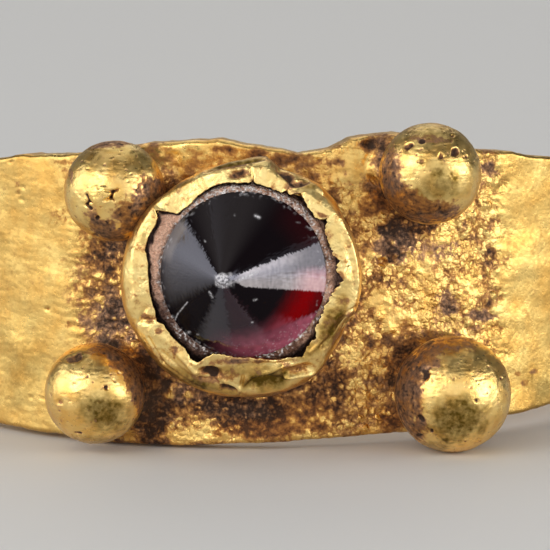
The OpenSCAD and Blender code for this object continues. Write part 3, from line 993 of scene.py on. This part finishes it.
GRANULE_ORANGE = [
    (124, 212, 20, 16, 0.8), (410, 205, 30, 14, 0.8), (126, 358, 16, 24, 0.4, 20),
    (412, 420, 14, 24, 0.3), (430, 203, 24, 10, 0.5),
]
GRANULE_SHINE = [
    (100, 196, 13, 11, 1), (408, 165, 12, 10, 0.6), (463, 168, 13, 9, 0.9, -20),
    (78, 380, 13, 13, 1), (478, 384, 16, 14, 1), (440, 380, 12, 10, 0.6),
]
GRANULE_SEEDS = (80, 90, 100, 110)
# The most that their dirt comes to in the open
OPEN_DIRT = 0.72
BRUSH_SIZE = (0.25, 0.25, 0.06)


def ball():
    """The points and faces of an even ball of radius 1."""
    shape = bmesh.new()
    bmesh.ops.create_icosphere(shape, subdivisions=GRANULE_LEVEL, radius=1)
    points = np.array([v.co for v in shape.verts])
    faces = [tuple(v.index for v in f.verts) for f in shape.faces]
    shape.free()
    return points, faces


def granule_surface(points, directions, seed):
    """The relief of a granule and its marks."""
    at = on_photo(points)
    facing = smooth(0.0, 0.25, directions @ VIEW_OUT)
    drift = noise(points, 0.3, seed)
    ragged = noise(points, 0.1, seed + 6)
    brush = noise(points, BRUSH_SIZE, seed + 7)
    dents = [(0.014, 0.9, seed + 1), (0.008, 0.4, seed + 2), (0.004, 0.13, seed + 3)]
    pores = smooth(0.55, 0.8, noise(points, 0.09, seed + 4))
    pits = spots(at, GRANULE_PITS, 0.3 * drift + 0.8 * ragged) + lines(at, GRANULE_CRACKS)
    pits *= facing
    relief = layers(points, dents) - 0.012 * pores - pits + 0.004 * brush

    dirt_and_shade = np.minimum(spots(at, GRANULE_DIRT, drift + ragged) * facing, OPEN_DIRT)
    dirt_and_shade = dirt_and_shade * (1 + 0.15 * brush + 0.25 * ragged)
    dirt_and_shade += 0.4 * pores + 0.9 * smooth(0.008, 0.042, pits)
    # Darker on the side that faces the hoop
    dirt_and_shade += 0.8 * smooth(-0.1, -0.45, directions @ HOOP_FRONT / HOOP_R)
    # Painted olive shade, and more of it on the sides turned from the view
    painted_shade = spots(at, GRANULE_PAINTED_SHADE, drift + 0.3 * brush + 0.6 * ragged) * facing
    painted_shade += 0.06 * smooth(0.1, 0.8, noise(points, 0.6, seed + 5)) + 0.2 * (1 - facing)
    return relief, {
        "dirt_and_shade": dirt_and_shade,
        "hue": 0.65 + 0.4 * drift - 0.9 * spots(at, GRANULE_ORANGE, drift) * facing,
        "painted_shade": painted_shade,
        "shine": 0.05 * spots(at, GRANULE_SHINE, drift) * facing,
        "grain": 0.12 * smooth(0.15, 0.5, dirt_and_shade),
        # A painted pale highlight on the side that faces the view
        "painted_highlight": 0.4 * facing * smooth(-0.4, 0.3, drift),
    }


def granule(name, shape, seed, material):
    right, up, radius = GRANULES[name]
    angle, out = granule_place(right, radius)
    centre = on_hoop(out, angle, up)
    directions, faces = shape
    relief, marks = granule_surface(centre + radius * directions, directions, seed)
    points = centre + (radius + relief[:, None]) * directions
    return make_piece(name, points, faces, marks, material, "hoop_and_setting")


# The stone

STONE_COLUMN = 243.5
STONE_ROW = 274.5
STONE_R = 1.97
TIP_COLUMN = 222
TIP_ROW = 281
GIRDLE_H = 1.60
GIRDLE_T = 0.1
CONE_H = 1.75
TIP_ROUND = 0.07
TIP_RISE = 0.3
STONE_FOOT_H = 0.56
UNDERSIDE_IN = 0.1
STONE_COLUMNS = 620
STONE_RINGS = 120
GIRDLE_MIDDLE = on_collet(STONE_COLUMN, STONE_ROW, GIRDLE_H)
# The marks of polishing: how wide as a share of the radius, how long as a share of the way
# from the tip to the rim, and how deep
POLISH_TURN = 0.035
POLISH_LENGTH = 0.05
POLISH_DEPTH = 0.0032
# The teeth at the edges of the stone's marks: how long along the way from the tip to the
# rim, as a share of it, and how wide round the tip, in degrees
TEETH_LENGTH = 0.012
TEETH_TURN = 9
STREAK_SIZE = (0.07, 0.07, 0.3)
# Lines across the stone, each a column and row on it and its slope: the upper and the lower
# edge of its painted pale highlight, the level below which that is palest, and the foot of its
# painted red glow.
# The red glow's left side is given as a row, a column and a slope
PALE_TOP = (232, 276.5, -0.385)
PALE_FOOT = (240, 286.5, 0.06)
PALE_LEVEL = (234, 279.3, -0.083)
RED_FOOT = (268, 331, -0.39)
RED_SIDE = (291, 298, -0.59)
# Columns over which the painted dark foot and the painted pale highlight start, and the highlight
# is pinched
FOOT_STARTS = (TIP_COLUMN + 4, TIP_COLUMN + 9)
PALE_STARTS = (TIP_COLUMN + 10, TIP_COLUMN + 20)
PINCH = (TIP_COLUMN + 24, TIP_COLUMN + 14)
# Sectors round the tip, in degrees anticlockwise from the right: where each starts, is full,
# begins to fade and ends
UPPER_GREY = (48, 75, 100, 122)
UPPER_MIRROR = (84, 100, 114, 119)
HAZE = (118, 122, 205, 225)
LEFT_DARK = (185, 212, 241, 257)
FOOT_SHADE = (232, 238, 314, 322)
CRUMBS = (268, 285, 326, 338)
FOOT_ROSE = (272, 290, 306, 316)
FOOT_DARK = (276, 282, 300, 318)
GLEAM_ANGLE = 19
GLEAM_WIDTH = 6
GLEAM_REACH = (0.1, 0.3, 0.6, 0.9)
# Scratches on the stone: column and row of both ends, half a width, strength
FROST_SCRATCHES = [
    (173, 326, 178, 314, 0.5, 0.8), (178, 314, 188, 302, 0.55, 0.8), (210, 292, 213, 297, 1, 1),
    (254, 300, 257, 299, 0.8, 1), (189, 332, 190, 332, 1, 1), (252, 322, 253, 322, 0.7, 0.7),
    (235, 215, 235, 216, 0.8, 0.3), (256, 216, 259, 218, 1.4, 1), (205, 241, 206, 242, 0.7, 0.6),
    (198, 334, 199, 334, 0.8, 0.8), (237, 281, 257, 272.5, 1.3, 1.1),
    (216, 276, 219, 284, 1.5, 0.7),
]


def below_line(line, columns, rows):
    """How many rows places of the photograph lie below a line."""
    column, row, slope = line
    return rows - row - slope * (columns - column)


def stone_view(points, share):
    """How points lie round the tip in degrees, as azimuth, and as turned with ragged edges,
    and how they lie to the lines across the stone. share is 0 at the tip, 1 at the rim."""
    columns, rows = on_photo(points)
    azimuth = np.degrees(np.arctan2(TIP_ROW - rows, columns - TIP_COLUMN)) % 360
    turns = np.stack([share / TEETH_LENGTH, azimuth / TEETH_TURN, np.zeros_like(share)], -1)
    teeth = noise(turns, 1, 65)
    streaks = noise(points, STREAK_SIZE, 62)
    pinch = smooth(*PINCH, columns)
    above = 2.4 * teeth + 1.5 * pinch - below_line(PALE_TOP, columns, rows)
    below = below_line(PALE_FOOT, columns, rows) + 1.2 * teeth + 4 * pinch
    right = smooth(*PALE_STARTS, columns)
    return SimpleNamespace(
        points=points, share=share, at=(columns, rows), azimuth=azimuth, streaks=streaks,
        turned=azimuth + 2 * (streaks + teeth) / np.maximum(share, 0.3),
        lean=below_line(RED_SIDE, rows, columns) + 3 * teeth,
        foot=below_line(RED_FOOT, columns, rows) + 2 * teeth,
        level=below_line(PALE_LEVEL, columns, rows) + 2 * streaks,
        above=above, below=below, right=right,
        wedge=right * smooth(0.8, -0.8, above) * smooth(0.8, -0.8, below),
    )


def red_marks(view):
    """Where light comes out of the stone red, and where rosy."""
    glow = smooth(-17, 13, view.lean) * smooth(1.5, -1.5, view.foot)
    glow *= 1 - 0.5 * smooth(0.84, 0.98, view.share + 0.03 * view.streaks)
    painted_rosy_light = smooth(252, 300, view.turned) * smooth(0.58, 1.0, view.share)
    under = smooth(-1.5, 1.5, view.foot) * smooth(350, 338, view.turned)
    painted_rosy_light *= np.maximum(smooth(335, 322, view.turned), under)
    painted_rosy_light *= 1 + 0.3 * noise(view.points, 0.15, 67)
    return glow, painted_rosy_light + 0.05 * between(view.turned, *FOOT_ROSE)


def pale_mark(view):
    """How strong the painted pale highlight is in the wedge at the stone's right."""
    wedge, share = view.wedge, view.share
    painted_highlight = wedge * (0.18 + 0.37 * smooth(-8, 8, view.level))
    painted_highlight += 0.2 * wedge * smooth(0.45, 0.75, share) * smooth(0, 8, view.level)
    gleam = np.exp(-((view.azimuth - GLEAM_ANGLE) / GLEAM_WIDTH) ** 2)
    painted_highlight += 0.4 * wedge * gleam * between(share, *GLEAM_REACH)
    painted_highlight *= 0.95 + 0.2 * noise(view.points, 0.08, 66) + 0.2 * view.streaks
    return painted_highlight + 0.15 * wedge * smooth(0.5, 0.25, share)


def dark_mark(view, glow, rim):
    """Painted shade: where the stone is made to mirror little."""
    share, turned, azimuth = view.share, view.turned, view.azimuth
    top = smooth(122, 119.5, turned) * smooth(30, 50, azimuth)
    top = np.maximum(between(turned, *LEFT_DARK), top)
    foot = smooth(*FOOT_STARTS, view.at[0]) * smooth(303, 312, turned)
    return np.maximum.reduce([
        top - 0.12 * between(azimuth, *UPPER_MIRROR),
        0.7 * rim,
        foot * smooth(-0.8, 0.8, view.below),
        view.right * smooth(-0.8, 0.8, view.above) * smooth(60, 50, azimuth),
        0.45 * view.wedge * smooth(0.5, 0.8, share) * smooth(0, -6, view.level),
        0.55 * between(turned, *FOOT_DARK),
        smooth(0.3, 0.8, glow),
        0.6 * smooth(0.84, 0.93, share) * between(azimuth, *FOOT_SHADE),
    ])


def worn_mark(view):
    """Where the tip, the rim and some scratches are dull."""
    drift = noise(view.points, 0.2, 61)
    tip = smooth(0.13, 0.08, view.share + 0.04 * drift)
    frost = smooth(0.93, 1.0, view.share + 0.05 * drift)
    frost *= smooth(0.1, 0.5, noise(view.points, 0.1, 63))
    crumbs = smooth(0.4, 0.65, noise(view.points, 0.05, 68)) * smooth(0.76, 0.95, view.share)
    crumbs *= between(view.azimuth, *CRUMBS)
    scratches = lines(view.at, FROST_SCRATCHES)
    return np.clip(np.maximum.reduce([tip, 0.4 * frost + 0.4 * crumbs, scratches]), 0, 1)


def stone_marks(points, share):
    """The marks that the garnet's material reads."""
    view = stone_view(points, share)
    azimuth = view.azimuth
    glow, painted_rosy_light = red_marks(view)
    # Painted pink light in the lower outer part of the wedge
    pink_end = view.wedge * smooth(0.62, 0.92, share) * smooth(-9, 6, view.level)
    upper = view.right * smooth(0, 1.5, view.above) * smooth(60, 35, azimuth)
    glow = glow * smooth(-0.8, 0.8, view.below) + 0.35 * pink_end
    glow += 0.08 * upper * smooth(0.65, 1.0, share)
    # A painted pale highlight with painted shade along the upper left rim
    rim = smooth(0.81, 0.89, share) * smooth(121, 126, view.turned) * smooth(165, 150, azimuth)
    painted_highlight = pale_mark(view) + 0.12 * pink_end + 0.03 * between(azimuth, *UPPER_GREY)
    haze = between(azimuth, *HAZE) * (0.35 + 0.65 * smooth(140, 160, azimuth))
    return {
        "glow": glow,
        "painted_rosy_light": painted_rosy_light + 0.9 * pink_end,
        "painted_highlight": painted_highlight + 0.3 * rim,
        "dark": dark_mark(view, glow, rim),
        "haze": np.maximum(haze, 0.6 * view.wedge),
        "worn": worn_mark(view),
    }


def stone_cone():
    """The cone as rings of points from its tip to its rim, and each ring's share of the way."""
    turn = np.arange(STONE_COLUMNS) * 2 * math.pi / STONE_COLUMNS
    right, up = np.cos(turn), np.sin(turn)
    share = np.linspace(0, 1, STONE_RINGS)[1:, None]
    share = np.broadcast_to(share, (len(share), STONE_COLUMNS))
    tip_foot = on_collet(TIP_COLUMN, TIP_ROW, GIRDLE_H + CONE_H) - CONE_H * COLLET_OUT
    reach = STONE_R * (right[:, None] * COLLET_RIGHT + up[:, None] * COLLET_UP)
    flat = tip_foot + (GIRDLE_MIDDLE - tip_foot + reach) * share[..., None]
    blunt = math.hypot(1, TIP_ROUND)
    rise = CONE_H * (blunt - np.sqrt(share ** 2 + TIP_ROUND ** 2)) / blunt
    places = [share * 0 + right / POLISH_TURN, share * 0 + up / POLISH_TURN]
    places = np.stack([*places, share / POLISH_LENGTH], -1)
    polish = POLISH_DEPTH * noise(places, 1, 64) * smooth(1, 0.9, share) * share
    return flat + (rise + polish)[..., None] * COLLET_OUT, share


def stone(material):
    """A cone with a rounded, worn tip over an upright girdle."""
    cone, share = stone_cone()
    edge = cone[-1]
    drop = (GIRDLE_H - STONE_FOOT_H) * COLLET_OUT
    foot = GIRDLE_MIDDLE + (edge - GIRDLE_MIDDLE) * (1 - UNDERSIDE_IN / STONE_R) - drop
    apex = cone[0].mean(0) + TIP_RISE * (cone[0].mean(0) - cone[1].mean(0))
    points = np.concatenate([
        cone.reshape(-1, 3), edge - GIRDLE_T * COLLET_OUT, foot, [apex, GIRDLE_MIDDLE - drop]
    ])
    rings = STONE_RINGS + 1
    ring = np.arange(STONE_COLUMNS)
    faces = grid_faces(rings, STONE_COLUMNS, closed_columns=True)[:, ::-1].tolist()
    faces += fan_faces(ring, len(points) - 2)
    faces += fan_faces((rings - 1) * STONE_COLUMNS + ring, len(points) - 1, turned=True)
    marks = extended(stone_marks(cone, share), len(points))
    marks["worn"][-2] = 1
    return make_piece("garnet", points, faces, marks, material, "stone")


# The bedding

BEDDING_COLUMNS = 720
# Its rings: the share of the way from the stone to under the lip, and a height
BEDDING_TOP = [(0, 1.56), (0.15, 1.60), (0.42, 1.56), (0.62, 1.38), (0.78, 1.15), (1, 1.05)]
BEDDING_FOOT_H = 0.9
BEDDING_SUBSTEPS = 8
# In pixels: how far it reaches under the stone and the lip, its least width, and how far it
# stays off the collet's bend
STONE_OVERLAP = 3
LIP_OVERLAP = 5
LEAST_WIDTH = 6
OFF_BEND = 7
# Readings round it, an angle and a value: how wide the frost by the stone is, how pink the
# paste is, how much painted shade lies in the gap by the lip, how dark the paste itself is, and how
# full it lies
FROST_WIDTH = [
    (0, 4), (30, 5), (50, 7), (80, 9), (110, 9), (130, 7), (150, 3), (200, 3), (225, 5), (250, 4),
    (330, 4),
]
PASTE_PINKNESS = [
    (0, 0.6), (40, 0.3), (60, 0.3), (120, 0.6), (135, 1.3), (172, 1.3), (190, 0.8), (210, 0.2),
    (300, 0.1), (320, 0.5), (345, 0.7),
]
PASTE_GAP = [(0, 0.4), (30, 0.5), (60, 1), (300, 1), (330, 0.5)]
PASTE_SHADE = [(188, 0), (205, 0.65), (245, 0.65), (265, 0.4), (300, 0.3), (325, 0)]
PASTE_FULLNESS = [
    (0, 0.9), (30, 0.7), (45, 0.2), (100, 0), (130, 0.8), (180, 0.8), (200, 0.3), (220, 0),
    (320, 0.3), (340, 0.8),
]
# The angles of the dark seam by the stone
SEAM = (125, 140, 200, 215)


def bedding_marks(top, angles, out, reach):
    """Where the paste is pink, dark or frosted; in the gap by the lip the dark is painted shade.
    out is how many pixels off the stone a point lies, and reach how many the lip's edge."""
    drift = noise(top, 0.2, 74)
    pink = np.broadcast_to(reading(PASTE_PINKNESS, angles), out.shape)
    width = reading(FROST_WIDTH, angles)
    frost = smooth(width + 2, width - 2, out + 2.5 * drift)
    frost *= smooth(-0.05, 0.3, noise(top, 0.07, 75) + 0.4 * smooth(4, 7, width))
    depth = np.maximum.reduce([
        smooth(width + 1, width + 7, out + 3 * drift) * smooth(1, 0.5, pink),
        # Painted shade in the gap by the lip
        reading(PASTE_GAP, angles) * smooth(0.62, 0.8, out / reach + 0.15 * drift),
        reading(PASTE_SHADE, angles) * (1 + 0.3 * drift),
        0.7 * smooth(4, 2, out + 2 * drift) * between(angles, *SEAM),
    ])
    return {"pink": pink, "depth": depth, "frost": frost * smooth(0.9, 0.7, depth)}


def bedding(material):
    """A crusted ring of paste between the stone and the lip."""
    angles = np.arange(BEDDING_COLUMNS) * 360 / BEDDING_COLUMNS
    turn = np.radians(angles)
    right = STONE_COLUMN + STONE_R * PX_PER_MM * np.cos(turn) - COLLET_COLUMN
    up = COLLET_ROW - STONE_ROW + STONE_R * PX_PER_MM * np.sin(turn)
    around = np.degrees(np.arctan2(up, right))
    inner = np.hypot(up, right) - STONE_OVERLAP
    lip = reading(LIP_EDGE, around)
    outer = np.maximum(lip + LIP_OVERLAP, inner + LEAST_WIDTH)
    outer = np.minimum(outer, reading(BEND, around) - OFF_BEND)
    full = reading(PASTE_FULLNESS, around)
    rings = [
        (inner + share * (outer - inner), height + full * (BEDDING_TOP[0][1] - height))
        for share, height in BEDDING_TOP
    ]
    top = lofted(around, rings, BEDDING_SUBSTEPS)

    out = np.linspace(0, 1, len(top))[:, None] * (outer - inner) - STONE_OVERLAP
    marks = bedding_marks(top, angles, out, np.maximum(lip - inner - STONE_OVERLAP, 4))
    crust = 0.045 * noise(top, 0.16, 71) + 0.045 * (lumps(top, 0.08, 72) - 0.4)
    crust += 0.03 * noise(top, 0.06, 73)
    low = round_collet(around, np.stack([outer, inner]), BEDDING_FOOT_H)
    points = np.concatenate([top + crust[..., None] * COLLET_OUT, low])
    faces = grid_faces(*points.shape[:2], closed_rows=True, closed_columns=True)[:, ::-1]
    marks = extended(marks, points[..., 0].size)
    return make_piece(
        "bedding_crust", points, faces, marks, material, "bedding"
    )


# The stage: camera, floor and lights. Lengths are in metres, but the sensor's

FLOOR_HALF_W = 0.9
FLOOR_FRONT = -0.9
FLOOR_COLOUR = (0.72, 0.71, 0.69)
FLOOR_ROUGHNESS = 0.6
BACKDROP_Y = 0.55
BACKDROP_ROUND = 0.3
BACKDROP_H = 0.9
SENSOR = 36
CLIP = (0.01, 10)


def world_direction(azimuth, off_axis):
    """The direction at an angle round the view, anticlockwise from the right, and at an angle
    off the way to the camera, both in degrees."""
    round_view = math.radians(azimuth)
    off = math.radians(off_axis)
    side = math.cos(round_view) * VIEW_RIGHT + math.sin(round_view) * VIEW_UP
    return Vector(TURN @ (math.sin(off) * side + math.cos(off) * VIEW_OUT))


def camera():
    """The photograph's view: its middle lies a little above the hoop's mid-plane."""
    middle = HOOP_FRONT + (MIDDLE_ROW - PHOTO_SIDE / 2) / PX_PER_MM * VIEW_UP
    data = bpy.data.cameras.new("camera")
    data.sensor_width = SENSOR
    data.lens = SENSOR * CAMERA_DISTANCE * PX_PER_MM / PHOTO_SIDE
    data.clip_start, data.clip_end = CLIP
    eye = add_object("camera", data)
    axes = TURN @ np.stack([VIEW_RIGHT, VIEW_UP, VIEW_OUT], 1)
    place = in_world(middle + CAMERA_DISTANCE * VIEW_OUT)
    eye.matrix_world = Matrix.Translation(Vector(place)) @ Matrix(axes.tolist()).to_4x4()
    bpy.context.scene.camera = eye


def floor(material):
    """A pale floor that curves up into a backdrop."""
    bend = np.radians(np.linspace(0, 90, 13))
    curve = zip(
        BACKDROP_Y + BACKDROP_ROUND * np.sin(bend), BACKDROP_ROUND * (1 - np.cos(bend))
    )
    profile = [(FLOOR_FRONT, 0), *curve, (BACKDROP_Y + BACKDROP_ROUND, BACKDROP_H)]
    points = [(x, y, z) for y, z in profile for x in (-FLOOR_HALF_W, FLOOR_HALF_W)]
    faces = [(2 * k, 2 * k + 1, 2 * k + 3, 2 * k + 2) for k in range(len(profile) - 1)]
    sheet = add_mesh("floor", points, faces, material)


# The soft boxes: angle round the view, angle off the way to the camera, distance, width
# and height in metres, and power in watts
SOFT_BOXES = {
    "box_left": (168, 76, 0.40, 0.54, 0.39, 1.22),
    "box_right": (10.5, 70, 0.40, 0.34, 0.20, 0.80),
    "box_front": (46, 18, 0.45, 0.68, 0.40, 0.82),
    "box_key": (150, 42, 0.45, 0.22, 0.22, 0.32),
    "box_top": (128, 48, 0.45, 0.34, 0.22, 0.17),
    "box_overhead": (92, 90, 0.50, 0.60, 0.24, 0.32),
    "box_back": (90, 128, 0.60, 0.40, 0.40, 0.5),
}
WORLD_LIGHT = 0.07


def soft_box(name, azimuth, off_axis, distance, width, height, power):
    """A rectangular light that faces the ring."""
    data = bpy.data.lights.new(name, "AREA")
    data.shape = "RECTANGLE"
    data.size = width
    data.size_y = height
    data.energy = power
    box = add_object(name, data)
    out = world_direction(azimuth, off_axis)
    box.location = Vector(SHIFT) + distance * out
    box.rotation_euler = out.to_track_quat("Z", "Y").to_euler()


def lights():
    for name, values in SOFT_BOXES.items():
        soft_box(name, *values)
    world = bpy.data.worlds.new("world")
    world.use_nodes = True
    background = world.node_tree.nodes["Background"]
    background.inputs["Color"].default_value = (1, 1, 1, 1)
    background.inputs["Strength"].default_value = WORLD_LIGHT
    bpy.context.scene.world = world
    bpy.context.scene.view_settings.view_transform = "Standard"


camera()
lights()
floor(plain_material("floor", FLOOR_COLOUR, FLOOR_ROUGHNESS))
gold = gold_material()
hoop(gold)
collet(gold)
ball_shape = ball()
for granule_name, granule_seed in zip(GRANULES, GRANULE_SEEDS):
    granule(granule_name, ball_shape, granule_seed, gold)
stone(garnet_material())
bedding(paste_material())
